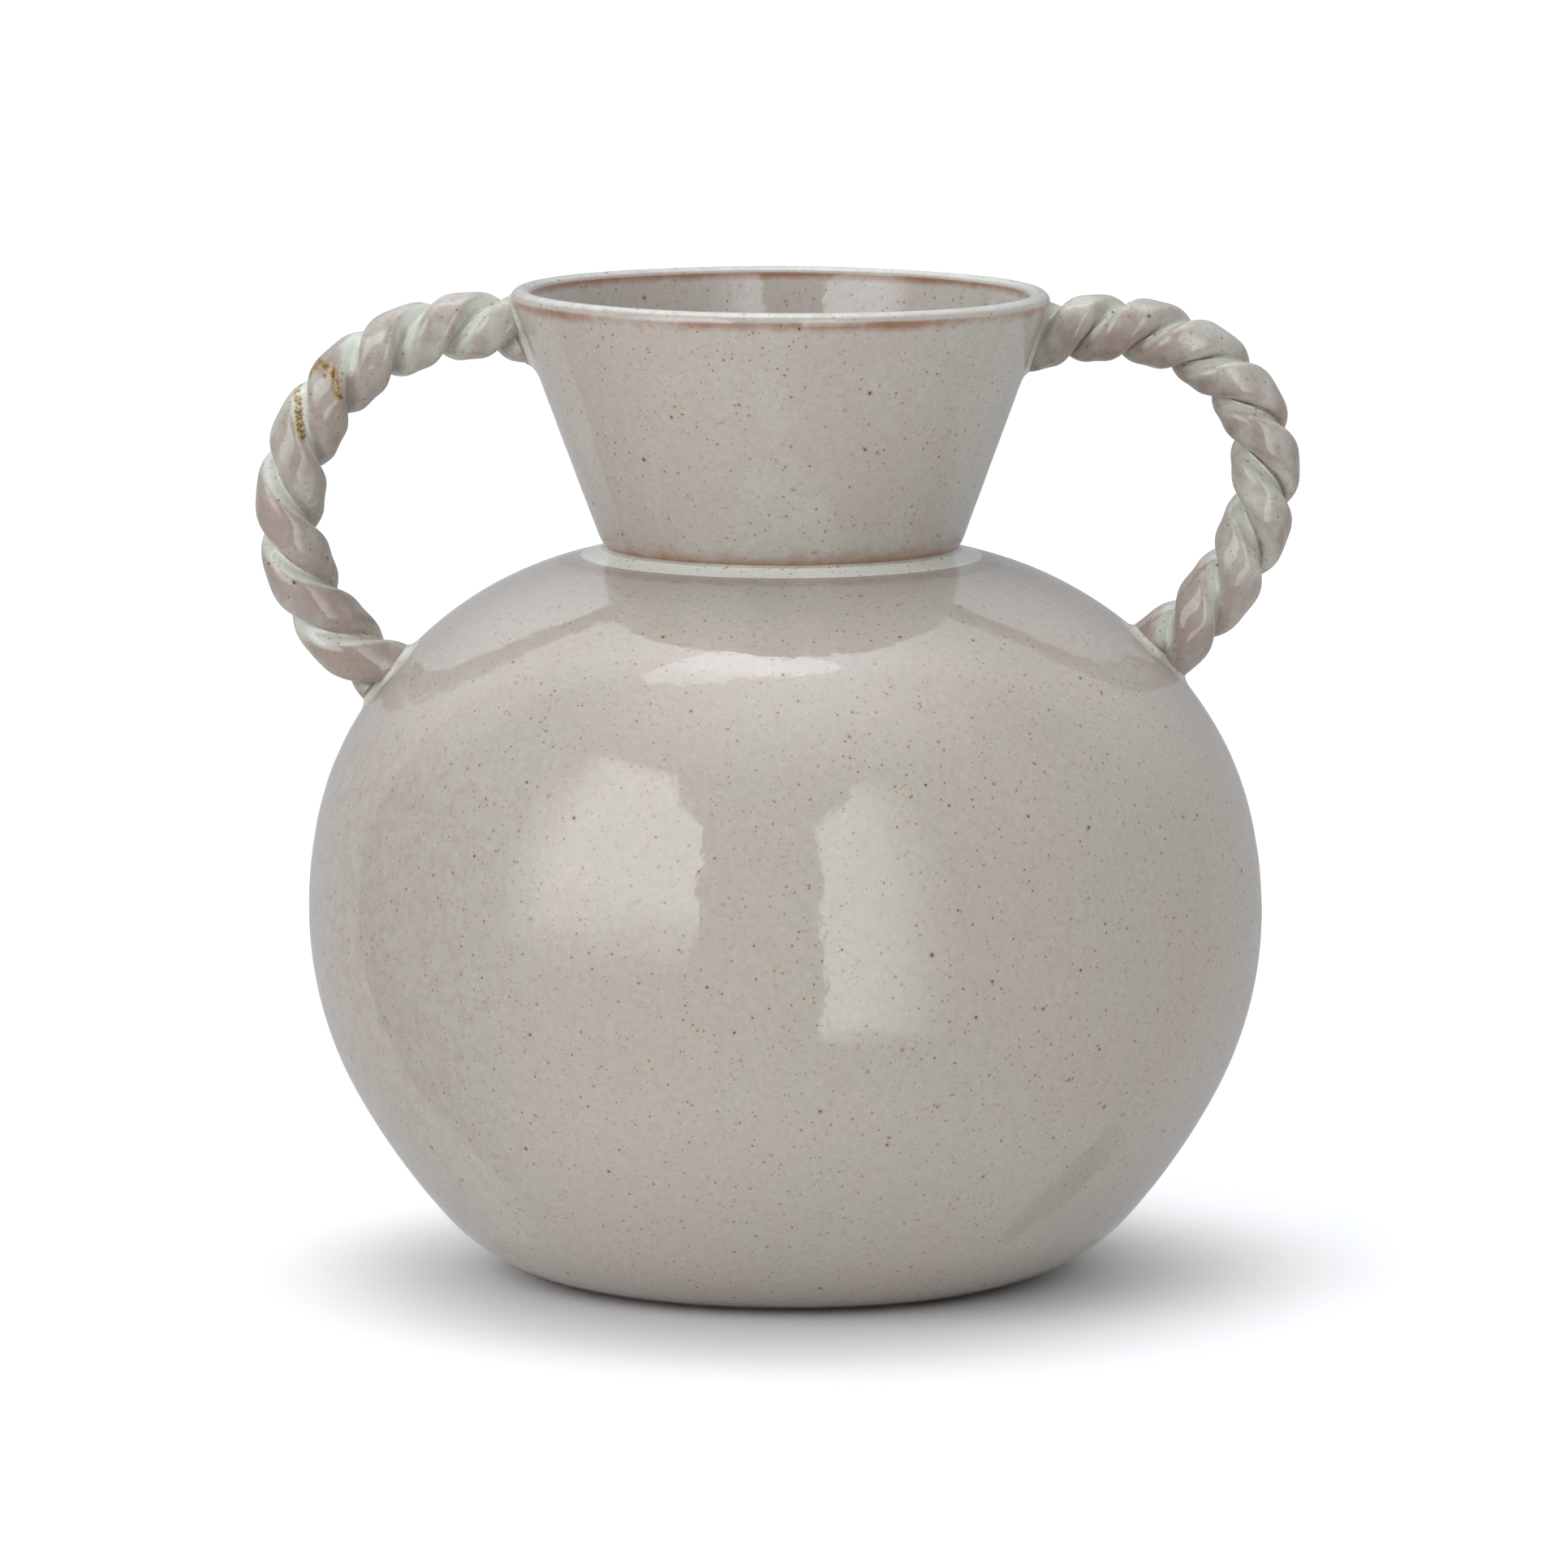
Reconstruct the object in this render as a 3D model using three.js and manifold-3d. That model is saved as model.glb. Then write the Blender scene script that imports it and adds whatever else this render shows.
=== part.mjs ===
// A hand-thrown stoneware vase: a globe, a flared neck with a round lip, and two rope handles,
// each laid from two rolls of clay.
// Millimetres, +Z up. The origin is the centre of the foot, on the surface the vase stands on.

import * as THREE from 'three';
import { mergeVertices } from 'three/addons/utils/BufferGeometryUtils.js';
import Module from 'manifold-3d';

// ---- Driving dimensions ----------------------------------------------------------------------

const WALL = 5.2; // thrown wall of the globe and the neck
const JOINT_GAP = 0.3; // clear space between two neighbouring pieces
const TURNED_SIDES = 48; // flats round every turned piece
const ARC_STEP = 9; // degrees of an outline's arc to one facet

// The globe's outline runs from the belly as arcs without a corner between them. Each arc is
// [radius, how far the wall has turned from upright at its end, in degrees].
const BELLY_RADIUS = 117.5;
const SHOULDER_ARCS = [[112, 13], [76, 29], [89, 79.5]];
const LOWER_ARCS = [[91, 28.5], [163, 42], [44, 90]];
const FLOOR_TOP = 8; // inside floor above the table
const THROAT_RADIUS = 38;

// Foot: a bare ring let into the underside, which lifts the glazed edge off the table.
const FOOT_OUTER_RADIUS = 57;
const FOOT_INNER_RADIUS = 47;
const FOOT_HEIGHT = 2.5;
const GLAZE_STOP = 0.8; // lowest edge of the globe above the table

// Neck: a straight flared wall that ends in a half-round lip.
const NECK_BASE_RADIUS = 43.5;
const LIP_RADIUS = 63.65; // axis to the centre of the lip's round
const LIP_TOP = 243.1;
const LIP_FACETS = 6;

// Seam: the clay pressed into the corner between the neck and the shoulder.
const SEAM_RADIUS = 52.5;
const SEAM_HEIGHT = 1.6; // up the neck from its base
const SEAM_EDGE = 0.4; // thickness of its outer edge
const SEAM_FACETS = 4;

// Rope: two rolls laid side by side, each with an oval section that is flat against the other.
const ROLL_OFFSET = 3.9; // rope's centre line to the middle of a roll
const ROLL_DEPTH = 4.3; // half the roll's size, away from the centre line
const ROLL_WIDTH = 6.2; // half the roll's size, across that
const ROLL_FACETS = 7; // to half the oval
const ROPE_STEPS = 54;

// Each handle's centre line is one Bezier curve in the XZ plane, from inside the neck's wall to
// inside the globe's. A crossing is where one roll lies straight in front of the other, and the
// places of the first and last crossing are distances along the centre line. The twist slackens
// towards the lower end, and both ropes turn the same way.
const HANDLES = [
  {
    name: 'left',
    route: [[-57.4, 231.9], [-114.8, 246.5], [-146.7, 177.1], [-94.6, 146.3]],
    crossings: [12.3, 131],
  },
  {
    name: 'right',
    route: [[57.2, 230], [120, 250.6], [145.8, 184.2], [80.6, 146.4]],
    crossings: [12.6, 124],
  },
];
const HALF_TURNS = 7; // between the first crossing and the last
const SLACKENING = 0.13;

// Pads: the slip collars that bed each handle on the neck and on the shoulder.
const PAD_THICKNESS = 1.9;
const UPPER_PAD_RADIUS = 8.2;
const LOWER_PAD_RADIUS = 10;
const PAD_REACH = 20; // half the length of the plug that a pad is cut from
const PAD_SIDES = 24;

// ---- Materials -------------------------------------------------------------------------------

const glaze = (colour) => new THREE.MeshStandardMaterial({ color: colour, roughness: 0.18, metalness: 0 });
const globeGlaze = glaze(0xb3ada3);
const neckGlaze = glaze(0xb0a59b);
const seamGlaze = glaze(0xc6c6bb);
const ropeGlaze = glaze(0xaca192);
const padGlaze = glaze(0xbab5a9);
const bareClay = new THREE.MeshStandardMaterial({ color: 0x9a6a4e, roughness: 0.85, metalness: 0 });

// ---- Outlines --------------------------------------------------------------------------------

const toRadians = THREE.MathUtils.degToRad;

// Arcs that run on from each other, upwards (rise 1) or downwards (rise -1) from a start point.
function arcChain(start, arcs, rise) {
  const chain = [];
  let from = 0;
  let end = start;
  for (const [radius, degrees] of arcs) {
    const to = toRadians(degrees);
    const centre = new THREE.Vector2(
      end.x - radius * Math.cos(from),
      end.y - rise * radius * Math.sin(from),
    );
    const arc = { centre, radius, from, to, rise };
    chain.push(arc);
    end = arcPoint(arc, to, 0);
    from = to;
  }
  return chain;
}

function arcPoint(arc, angle, offset) {
  const radius = arc.radius + offset;
  return new THREE.Vector2(
    arc.centre.x + radius * Math.cos(angle),
    arc.centre.y + arc.rise * radius * Math.sin(angle),
  );
}

// Points along one arc, moved outwards by the offset, without the first.
function arcPoints(arc, from, to, offset) {
  const count = Math.max(1, Math.round(Math.abs(to - from) / toRadians(ARC_STEP)));
  const points = [];
  for (let i = 1; i <= count; i++) {
    points.push(arcPoint(arc, from + (to - from) * i / count, offset));
  }
  return points;
}

const angleAtRadius = (arc, radius, offset) => Math.acos((radius - arc.centre.x) / (arc.radius + offset));
const angleAtHeight = (arc, height, offset) =>
  Math.asin(arc.rise * (height - arc.centre.y) / (arc.radius + offset));

// The belly stands as high as its lower arcs drop.
function arcDrop(arcs) {
  let drop = 0;
  let from = 0;
  for (const [radius, degrees] of arcs) {
    const to = toRadians(degrees);
    drop += radius * (Math.sin(to) - Math.sin(from));
    from = to;
  }
  return drop;
}

const belly = new THREE.Vector2(BELLY_RADIUS, arcDrop(LOWER_ARCS));
const lowerWall = arcChain(belly, LOWER_ARCS, -1);
const shoulderWall = arcChain(belly, SHOULDER_ARCS, 1);
const footArc = lowerWall[lowerWall.length - 1];
const topArc = shoulderWall[shoulderWall.length - 1];
const shoulderEnd = arcPoint(topArc, topArc.to, 0);

// The globe's wall from the given height near the foot to the given angle on the top arc, at an
// offset outwards from its outer face.
function globeWall(bottomHeight, topAngle, offset) {
  const bottomAngle = angleAtHeight(footArc, bottomHeight, offset);
  const points = [arcPoint(footArc, bottomAngle, offset)];
  for (const arc of [...lowerWall].reverse()) {
    const from = arc === footArc ? bottomAngle : arc.to;
    points.push(...arcPoints(arc, from, arc.from, offset));
  }
  for (const arc of shoulderWall) {
    const to = arc === topArc ? topAngle : arc.to;
    points.push(...arcPoints(arc, arc.from, to, offset));
  }
  return points;
}

// Lip and neck: the wall's middle line leans out from the base to the centre of the lip's round.
const neckBase = shoulderEnd.y + JOINT_GAP;
const lipCentre = new THREE.Vector2(LIP_RADIUS, LIP_TOP - WALL / 2);
const baseToLip = lipCentre.clone().sub(new THREE.Vector2(NECK_BASE_RADIUS, neckBase));
const neckLean = Math.atan2(baseToLip.x, baseToLip.y) + Math.asin(WALL / 2 / baseToLip.length());

function neckRadius(height, offset) {
  const middle = LIP_RADIUS - (lipCentre.y - height) * Math.tan(neckLean);
  return middle + offset / Math.cos(neckLean);
}

// Half-round lip from its outer side over the top, as far as the given angle past the outer side.
function lipPoints(radius, sweep) {
  const points = [];
  for (let i = 0; i <= LIP_FACETS; i++) {
    const angle = -neckLean + sweep * i / LIP_FACETS;
    points.push(new THREE.Vector2(
      lipCentre.x + radius * Math.cos(angle),
      lipCentre.y + radius * Math.sin(angle),
    ));
  }
  return points;
}

// ---- Solids ----------------------------------------------------------------------------------

// Turns a closed outline about the vertical axis.
function turned(outline) {
  const geometry = new THREE.LatheGeometry(outline, TURNED_SIDES);
  return geometry.rotateX(Math.PI / 2);
}

function ring(outline) {
  return turned([...outline, outline[0].clone()]);
}

const wasm = await Module();
wasm.setup();

// A closed mesh as a manifold-3d solid, without the collapsed faces that a turned pole has.
function toSolid(geometry) {
  const bare = geometry.clone();
  bare.deleteAttribute('normal');
  bare.deleteAttribute('uv');
  const merged = mergeVertices(bare);
  const index = merged.index.array;
  const triangles = [];
  for (let i = 0; i < index.length; i += 3) {
    const [a, b, c] = index.slice(i, i + 3);
    if (a !== b && b !== c && c !== a) {
      triangles.push(a, b, c);
    }
  }
  return new wasm.Manifold(new wasm.Mesh({
    numProp: 3,
    vertProperties: new Float32Array(merged.attributes.position.array),
    triVerts: new Uint32Array(triangles),
  }));
}

function toGeometry(solid) {
  const mesh = solid.getMesh();
  const geometry = new THREE.BufferGeometry();
  geometry.setAttribute('position', new THREE.BufferAttribute(new Float32Array(mesh.vertProperties), 3));
  geometry.setIndex(new THREE.BufferAttribute(new Uint32Array(mesh.triVerts), 1));
  geometry.computeVertexNormals();
  return geometry;
}

function globeBody() {
  const outside = globeWall(GLAZE_STOP, topArc.to, 0);
  const inside = globeWall(FLOOR_TOP, angleAtRadius(topArc, THROAT_RADIUS, -WALL), -WALL);
  const recess = FOOT_OUTER_RADIUS + JOINT_GAP;
  const underside = FOOT_HEIGHT + JOINT_GAP;
  return turned([
    new THREE.Vector2(0, underside),
    new THREE.Vector2(recess, underside),
    new THREE.Vector2(recess, GLAZE_STOP),
    ...outside,
    new THREE.Vector2(THROAT_RADIUS, shoulderEnd.y),
    ...inside.reverse(),
    new THREE.Vector2(0, FLOOR_TOP),
  ]);
}

function footRing() {
  return ring([
    new THREE.Vector2(FOOT_INNER_RADIUS, 0),
    new THREE.Vector2(FOOT_OUTER_RADIUS, 0),
    new THREE.Vector2(FOOT_OUTER_RADIUS, FOOT_HEIGHT),
    new THREE.Vector2(FOOT_INNER_RADIUS, FOOT_HEIGHT),
  ]);
}

function flaredNeck() {
  return ring([
    new THREE.Vector2(neckRadius(neckBase, -WALL / 2), neckBase),
    new THREE.Vector2(neckRadius(neckBase, WALL / 2), neckBase),
    ...lipPoints(WALL / 2, Math.PI),
  ]);
}

function neckSeam() {
  const outerAngle = angleAtRadius(topArc, SEAM_RADIUS, JOINT_GAP);
  const under = arcPoints(topArc, topArc.to, outerAngle, JOINT_GAP);
  const edge = under[under.length - 1];
  const besideNeck = WALL / 2 + JOINT_GAP;
  const foot = new THREE.Vector2(neckRadius(neckBase, besideNeck), neckBase);
  const top = new THREE.Vector2(neckRadius(neckBase + SEAM_HEIGHT, besideNeck), neckBase + SEAM_HEIGHT);
  const rim = new THREE.Vector2(edge.x, edge.y + SEAM_EDGE);
  const hollow = new THREE.Vector2(top.x + SEAM_HEIGHT, foot.y + JOINT_GAP);
  const face = new THREE.QuadraticBezierCurve(rim, hollow, top);
  return ring([foot, ...under, ...face.getPoints(SEAM_FACETS)]);
}

// The rope's centre line, whose section frame turns with the lay of the rolls.
class LaidRoute extends THREE.Curve {
  constructor(handle, phase) {
    super();
    const points = handle.route.map(([x, z]) => new THREE.Vector3(x, 0, z));
    this.line = new THREE.CubicBezierCurve3(...points);
    this.crossings = handle.crossings;
    this.phase = phase;
  }

  getPoint(t, target = new THREE.Vector3()) {
    return this.line.getPoint(t, target);
  }

  // Angle of the roll from the plane of the handle, at a share of the line's length.
  layAngle(share) {
    const [first, last] = this.crossings;
    const along = (share * this.line.getLength() - first) / (last - first);
    const halfTurns = HALF_TURNS * ((1 + SLACKENING) * along - SLACKENING * along * along);
    return this.phase + Math.PI / 2 - Math.PI * halfTurns;
  }

  computeFrenetFrames(segments) {
    const across = new THREE.Vector3(0, 1, 0);
    const frames = { tangents: [], normals: [], binormals: [] };
    for (let i = 0; i <= segments; i++) {
      const share = i / segments;
      const tangent = this.line.getTangentAt(share);
      const angle = this.layAngle(share);
      const inPlane = new THREE.Vector3().crossVectors(across, tangent);
      frames.tangents.push(tangent);
      frames.normals.push(inPlane.clone().applyAxisAngle(tangent, angle));
      frames.binormals.push(across.clone().applyAxisAngle(tangent, angle));
    }
    return frames;
  }
}

// Section of one roll: an oval, cut flat where it meets the other roll.
function rollSection() {
  const flat = JOINT_GAP / 2;
  const reach = Math.acos((flat - ROLL_OFFSET) / ROLL_DEPTH);
  const section = new THREE.Shape();
  section.absellipse(ROLL_OFFSET, 0, ROLL_DEPTH, ROLL_WIDTH, -reach, reach, false);
  section.closePath();
  return section;
}

// The solid inside the globe's or the neck's outer face, grown outwards.
function grownGlobe(growth) {
  return toSolid(turned([
    new THREE.Vector2(0, GLAZE_STOP),
    ...globeWall(GLAZE_STOP, topArc.to, growth),
    new THREE.Vector2(0, shoulderEnd.y),
  ]));
}

function grownNeck(growth) {
  const half = WALL / 2 + growth;
  return toSolid(turned([
    new THREE.Vector2(0, neckBase),
    new THREE.Vector2(neckRadius(neckBase, half), neckBase),
    ...lipPoints(half, Math.PI / 2 + neckLean),
    new THREE.Vector2(0, lipCentre.y + half),
  ]));
}

const rollClearance = PAD_THICKNESS + 2 * JOINT_GAP;
const rollCutters = [grownGlobe(rollClearance), grownNeck(rollClearance)];

function roll(handle, phase) {
  const geometry = new THREE.ExtrudeGeometry(rollSection(), {
    steps: ROPE_STEPS,
    curveSegments: ROLL_FACETS,
    extrudePath: new LaidRoute(handle, phase),
  });
  let solid = toSolid(geometry);
  for (const cutter of rollCutters) {
    solid = solid.subtract(cutter);
  }
  return toGeometry(solid);
}

// A pad is the part of a round plug, laid along the rope's end, that lies in the thin shell over
// the wall that it beds on.
function pad(handle, share, radius, grown) {
  const line = new LaidRoute(handle, 0).line;
  const centre = line.getPointAt(share);
  const along = line.getTangentAt(share);
  const plug = new THREE.CylinderGeometry(radius, radius, 2 * PAD_REACH, PAD_SIDES);
  const turn = new THREE.Quaternion().setFromUnitVectors(new THREE.Vector3(0, 1, 0), along);
  plug.applyQuaternion(turn);
  plug.translate(centre.x, centre.y, centre.z);
  const shell = grown(JOINT_GAP + PAD_THICKNESS).subtract(grown(JOINT_GAP));
  const pieces = toSolid(plug).intersect(shell).decompose();
  return toGeometry(nearest(pieces, centre));
}

// Of the pieces that a cut leaves, the one whose box lies nearest a point.
function nearest(pieces, point) {
  const distance = (piece) => {
    const { min, max } = piece.boundingBox();
    return new THREE.Box3(new THREE.Vector3(...min), new THREE.Vector3(...max)).distanceToPoint(point);
  };
  return pieces.reduce((best, piece) => (distance(piece) < distance(best) ? piece : best));
}

// ---- Assembly --------------------------------------------------------------------------------

const vase = new THREE.Group();

function add(name, geometry, material) {
  const mesh = new THREE.Mesh(geometry, material);
  mesh.name = name;
  vase.add(mesh);
}

add('globe_body', globeBody(), globeGlaze);
add('foot_ring', footRing(), bareClay);
add('flared_neck', flaredNeck(), neckGlaze);
add('neck_seam', neckSeam(), seamGlaze);
for (const handle of HANDLES) {
  add(`${handle.name}_upper_pad`, pad(handle, 0, UPPER_PAD_RADIUS, grownNeck), padGlaze);
  add(`${handle.name}_lower_pad`, pad(handle, 1, LOWER_PAD_RADIUS, grownGlobe), padGlaze);
  add(`${handle.name}_rope_roll_a`, roll(handle, 0), ropeGlaze);
  add(`${handle.name}_rope_roll_b`, roll(handle, Math.PI), ropeGlaze);
}

export default vase;
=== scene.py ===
"""A hand-thrown stoneware vase with two rope handles, under a glossy speckled glaze.

Sizes of clay and glaze are in millimetres and turned to metres with MM; everything else is in metres.
The overall sizes and heights come from the frame. The potter's outline and the lie of the ropes are
given as shares of them, so that every piece stays in its place on the frame.
"""

import math

import bmesh
import bpy
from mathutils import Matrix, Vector, noise


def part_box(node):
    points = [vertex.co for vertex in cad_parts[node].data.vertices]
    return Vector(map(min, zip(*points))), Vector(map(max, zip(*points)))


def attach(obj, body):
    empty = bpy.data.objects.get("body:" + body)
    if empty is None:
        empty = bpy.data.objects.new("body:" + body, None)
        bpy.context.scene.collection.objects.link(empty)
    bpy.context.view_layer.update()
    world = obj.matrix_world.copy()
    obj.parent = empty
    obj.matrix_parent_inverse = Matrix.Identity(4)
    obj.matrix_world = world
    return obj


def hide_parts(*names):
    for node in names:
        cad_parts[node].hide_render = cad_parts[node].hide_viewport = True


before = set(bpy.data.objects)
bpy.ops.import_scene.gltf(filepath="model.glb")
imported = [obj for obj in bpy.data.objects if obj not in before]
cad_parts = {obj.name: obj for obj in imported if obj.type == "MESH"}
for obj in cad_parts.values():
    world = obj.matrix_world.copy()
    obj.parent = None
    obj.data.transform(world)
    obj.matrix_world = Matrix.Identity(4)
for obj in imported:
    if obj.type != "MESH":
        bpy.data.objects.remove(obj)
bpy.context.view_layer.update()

MM = 0.001


# ---- Sizes from the frame ---------------------------------------------------------------------

globe_low, globe_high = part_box("globe_body")
neck_low, neck_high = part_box("flared_neck")
seam_low, seam_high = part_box("neck_seam")
foot_low, foot_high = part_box("foot_ring")

BELLY = (globe_high.x - globe_low.x) / 2
SHOULDER_TOP = globe_high.z
GLAZE_STOP = globe_low.z
HEIGHT = neck_high.z
FOOT_OUTER = foot_high.x
FOOT_TOP = foot_high.z

# The potter's wall, and what follows from it.
WALL = 5.2 * MM
FLOOR_TOP = 8 * MM
THROAT = 38 * MM
LIP = WALL / 2
LIP_RING = neck_high.x - LIP
NECK_BASE = 43.5 * MM
GAP = neck_low.z - SHOULDER_TOP

# Arcs of the globe's wall from the belly: (radius as a share of the belly's, degrees turned from
# upright at the arc's end).
SHOULDER_ARCS = [(0.9532, 13), (0.6468, 29), (0.7574, 79.5)]
LOWER_ARCS = [(0.7745, 28.5), (1.3872, 42), (0.3745, 90)]


# ---- Camera -----------------------------------------------------------------------------------

CAMERA_DISTANCE = 2.6
CAMERA_PITCH = math.radians(7.92)
AIM_SHARE = 0.497  # of the vase's height
LENS = 242.2


def camera():
    """Looks slightly down on the front of the vase, from across a room."""
    data = bpy.data.cameras.new("camera")
    data.lens = LENS
    data.sensor_width = 36
    data.clip_start = 0.1
    data.clip_end = 60
    eye = bpy.data.objects.new("camera", data)
    back = Vector((0, -math.cos(CAMERA_PITCH), math.sin(CAMERA_PITCH)))
    eye.location = Vector((0, 0, AIM_SHARE * HEIGHT)) + back * CAMERA_DISTANCE
    eye.rotation_euler = (math.pi / 2 - CAMERA_PITCH, 0, 0)
    bpy.context.scene.collection.objects.link(eye)
    bpy.context.scene.camera = eye


camera()


# ---- The shape of the wall --------------------------------------------------------------------


class Arc:
    """One arc of the globe's wall: its centre, its radius, and the turns at its two ends."""

    def __init__(self, start, radius, turned_from, turned_to, rise):
        self.radius = radius
        self.turned_from = turned_from
        self.turned_to = turned_to
        self.rise = rise
        self.x = start[0] - radius * math.cos(turned_from)
        self.z = start[1] - rise * radius * math.sin(turned_from)

    def point(self, turned, offset=0.0):
        reach = self.radius + offset
        return self.x + reach * math.cos(turned), self.z + self.rise * reach * math.sin(turned)

    def points(self, spacing, offset=0.0):
        """Points from the arc's start to its end, moved out by the offset, without the first."""
        sweep = self.turned_to - self.turned_from
        count = max(2, math.ceil(self.radius * sweep / spacing))
        return [self.point(self.turned_from + sweep * i / count, offset) for i in range(1, count + 1)]


def arc_chain(start, arcs, rise):
    chain = []
    turned = 0.0
    for share, degrees in arcs:
        arc = Arc(start, share * BELLY, turned, math.radians(degrees), rise)
        chain.append(arc)
        turned = arc.turned_to
        start = arc.point(turned)
    return chain


def drop_of(arcs):
    """How far a chain of arcs drops below the belly."""
    turns = [0.0] + [math.radians(degrees) for _, degrees in arcs]
    return sum(
        share * BELLY * (math.sin(turns[i + 1]) - math.sin(turns[i])) for i, (share, _) in enumerate(arcs)
    )


BELLY_HEIGHT = drop_of(LOWER_ARCS)
lower_wall = arc_chain((BELLY, BELLY_HEIGHT), LOWER_ARCS, -1)
shoulder_wall = arc_chain((BELLY, BELLY_HEIGHT), SHOULDER_ARCS, 1)
top_arc = shoulder_wall[-1]
foot_arc = lower_wall[-1]

# The neck leans out in a straight line that runs into the lip's round.
lip_height = HEIGHT - LIP
neck_rise = lip_height - neck_low.z
neck_spread = LIP_RING - NECK_BASE
NECK_LEAN = math.atan2(neck_spread, neck_rise) + math.asin(LIP / math.hypot(neck_rise, neck_spread))


def neck_radius(z, offset):
    """Radius of the neck's wall at a height, the offset measured square to the wall's middle."""
    return LIP_RING - (lip_height - z) * math.tan(NECK_LEAN) + offset / math.cos(NECK_LEAN)


def above_neck(p):
    """Distance outside the neck and its lip, the hollow of the neck counting as inside."""
    radius = math.hypot(p.x, p.y)
    if p.z < lip_height - LIP * math.sin(NECK_LEAN):
        return (radius - neck_radius(p.z, LIP)) * math.cos(NECK_LEAN)
    return math.hypot(max(0.0, radius - LIP_RING), p.z - lip_height) - LIP


def above_shoulder(p):
    return math.hypot(math.hypot(p.x, p.y) - top_arc.x, p.z - top_arc.z) - top_arc.radius


def neck_normal(p):
    out = Vector((p.x, p.y, 0)).normalized()
    if p.z < lip_height - LIP * math.sin(NECK_LEAN):
        return out * math.cos(NECK_LEAN) - Vector((0, 0, math.sin(NECK_LEAN)))
    ring = min(LIP_RING, math.hypot(p.x, p.y))
    return (p - out * ring - Vector((0, 0, lip_height))).normalized()


def shoulder_normal(p):
    out = Vector((p.x, p.y, 0)).normalized()
    return (p - out * top_arc.x - Vector((0, 0, top_arc.z))).normalized()


# ---- The hand of the potter -------------------------------------------------------------------

LEAN_AT_FOOT = 1.05 * MM
LEAN_PER_METRE = -8.3 * MM
RIM_TILT = math.radians(0.35)
WAVE_SIZE = 70 * MM
WAVE_DEPTH = 0.45 * MM
WAVE_SHIFTS = (Vector((9, 2, 8)), Vector((0, 0, 0)), Vector((2, 5, 8)))  # one for each direction
RING_PITCH = 11 * MM
RING_DEPTH = 0.05 * MM


def settled(p):
    """Where a point of the true shape ends up on the fired vase, which leans and waves a little."""
    wave = Vector([noise.noise(p / WAVE_SIZE + shift) for shift in WAVE_SHIFTS]) * WAVE_DEPTH
    radius = math.hypot(p.x, p.y)
    out = Vector((p.x, p.y, 0)) / max(radius, MM)
    spiral = p.z / RING_PITCH + math.atan2(p.y, p.x) / (2 * math.pi)
    strength = noise.noise(p / (0.5 * WAVE_SIZE) + Vector((7, 3, 1)))
    rings = out * math.sin(2 * math.pi * spiral) * strength * RING_DEPTH
    rise = min(1.0, p.z / HEIGHT)
    lean = Vector((LEAN_AT_FOOT + LEAN_PER_METRE * p.z, 0, -p.x * math.tan(RIM_TILT) * rise**3))
    standing = min(1.0, p.z / FOOT_TOP)
    return p + (wave + rings) * standing + lean


# ---- Making pieces ----------------------------------------------------------------------------

SHARP_EDGE = math.radians(55)
SPIN_STEPS = 240


def smoothstep(low, high, value):
    """0 up to low and 1 from high on, with a soft start and end. Low may be the larger of the two."""
    t = min(1.0, max(0.0, (value - low) / (high - low)))
    return t * t * (3 - 2 * t)


def turned(outline, closed):
    """Turns an outline of (radius, height) points about the vase's axis."""
    work = bmesh.new()
    verts = [work.verts.new((r, 0, z)) for r, z in outline]
    edges = [work.edges.new(pair) for pair in zip(verts, verts[1:])]
    if closed:
        edges.append(work.edges.new((verts[-1], verts[0])))
    bmesh.ops.spin(
        work, geom=verts + edges, cent=(0, 0, 0), axis=(0, 0, 1), dvec=(0, 0, 0),
        angle=2 * math.pi, steps=SPIN_STEPS, use_merge=True,
    )
    return work


def lofted(rings, closed):
    """A skin over rings of places: a tube with its two ends filled, or closed on itself. Each point
    keeps its share of the way around its ring."""
    work = bmesh.new()
    around = work.verts.layers.float.new("around")
    ring = [work.verts.new(place) for place in rings[0]]
    for i, v in enumerate(ring):
        v[around] = i / len(ring)
    edges = [work.edges.new(pair) for pair in zip(ring, ring[1:] + ring[:1])]
    first_edges = edges
    for places in rings[1:]:
        made = bmesh.ops.extrude_edge_only(work, edges=edges)["geom"]
        fresh = {v for v in made if isinstance(v, bmesh.types.BMVert)}
        edges = [e for e in made if isinstance(e, bmesh.types.BMEdge) and set(e.verts) <= fresh]
        moved = []
        for old, place in zip(ring, places):
            new = next(e.other_vert(old) for e in old.link_edges if e.other_vert(old) in fresh)
            new.co = place
            moved.append(new)
        ring = moved
    if closed:
        bmesh.ops.bridge_loops(work, edges=first_edges + edges)
    else:
        bmesh.ops.holes_fill(work, edges=first_edges + edges)
    return work


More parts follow.
